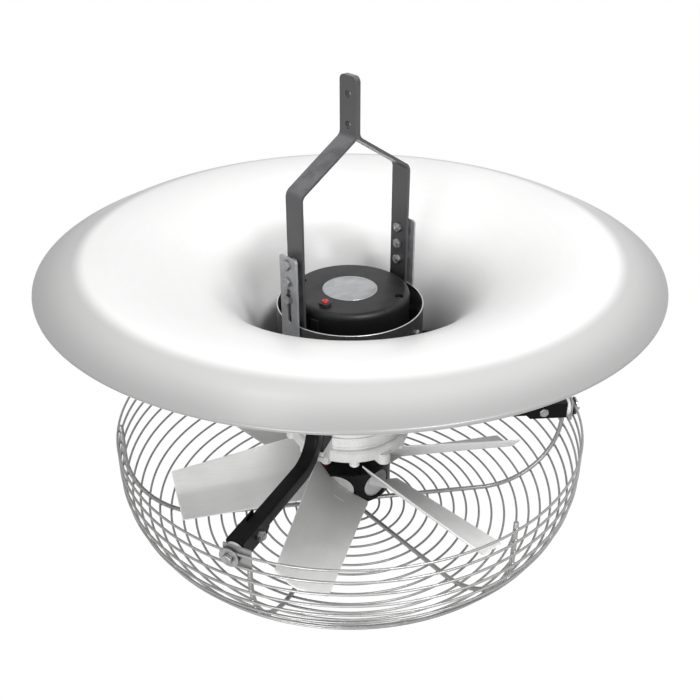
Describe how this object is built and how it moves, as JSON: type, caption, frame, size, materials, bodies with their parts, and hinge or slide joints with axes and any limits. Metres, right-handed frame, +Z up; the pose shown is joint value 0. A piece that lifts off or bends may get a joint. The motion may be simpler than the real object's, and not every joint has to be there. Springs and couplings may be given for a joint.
{
  "type": "air circulator fan",
  "caption": "Hanging air circulator fan: forked hanger, motor in a steel sleeve, wide flared flow disc, bladed impeller in a round wire basket guard.",
  "frame": {"origin": "centre of the line between the two hanging holes, in the joint face of the two hanger strips", "axes": "+Z up along the motor shaft, +X along the hanging holes' axis towards the right-hand hanger leg"},
  "size_m": [0.8539, 0.854, 0.6877],
  "materials": {
    "hanger_steel": "grey paint, satin",
    "strap_zinc": "galvanised, satin",
    "fastener_zinc": "zinc plated",
    "spacer_steel": "zinc plated, dull",
    "sleeve_steel": "rolled sheet, satin with a bright cut edge",
    "cap_plastic": "moulded, fine grain",
    "label_foil": "bare foil disc",
    "plug_red": "moulded",
    "seal_rubber": "matt",
    "housing_alu": "light grey casting, satin",
    "bearing_steel": "ground",
    "disc_white": "white, satin gloss",
    "arm_black": "black powder coat",
    "spacer_white": "moulded",
    "guard_white": "white powder coat",
    "shaft_steel": "turned",
    "hub_black": "moulded, satin",
    "screw_black": "blackened",
    "blade_grey": "light grey paint, satin"
  },
  "bodies": {
    "fan_frame": {"hanger_strip_right": "hanger_steel", "hanger_strip_left": "hanger_steel", "slotted_strap_right": "strap_zinc", "slotted_strap_left": "strap_zinc", "strap_bolts": "fastener_zinc", "strap_nuts": "fastener_zinc", "strap_spacers": "spacer_steel", "leg_bolts": "fastener_zinc", "sleeve": "sleeve_steel", "sleeve_screws": "fastener_zinc", "motor_cap": "cap_plastic", "cap_screws": "fastener_zinc", "cap_label": "label_foil", "plug_collar": "seal_rubber", "cable_plug": "plug_red", "motor_housing": "housing_alu", "end_shield": "housing_alu", "shield_screws": "fastener_zinc", "drain_plug": "plug_red", "bearing_upper": "bearing_steel", "bearing_lower": "bearing_steel", "shaft_seal": "seal_rubber", "flow_disc": "disc_white", "arm_1": "arm_black", "arm_2": "arm_black", "arm_3": "arm_black", "arm_webs": "arm_black", "arm_bolts": "fastener_zinc", "arm_nuts": "fastener_zinc", "end_sleeve_1": "arm_black", "end_sleeve_2": "arm_black", "end_sleeve_3": "arm_black", "cross_bolts": "fastener_zinc", "cross_nuts": "fastener_zinc", "end_spacers": "spacer_white", "end_bolts": "fastener_zinc", "end_washers": "fastener_zinc", "end_nuts": "fastener_zinc", "guard_floor": "guard_white", "guard_rings": "guard_white", "guard_ribs": "guard_white", "guard_plates": "guard_white"},
    "impeller": {"shaft": "shaft_steel", "hub_lower": "hub_black", "hub_upper": "hub_black", "hub_bolts": "screw_black", "hub_washer": "fastener_zinc", "hub_screw": "fastener_zinc", "blade_1": "blade_grey", "blade_2": "blade_grey", "blade_3": "blade_grey", "blade_4": "blade_grey", "blade_5": "blade_grey", "blade_6": "blade_grey"}
  },
  "joints": [
    {"name": "impeller_spin", "type": "hinge", "parent": "fan_frame", "child": "impeller", "pos_m": [0, 0, -0.569], "axis": [0, 0, 1], "continuous": true}
  ]
}
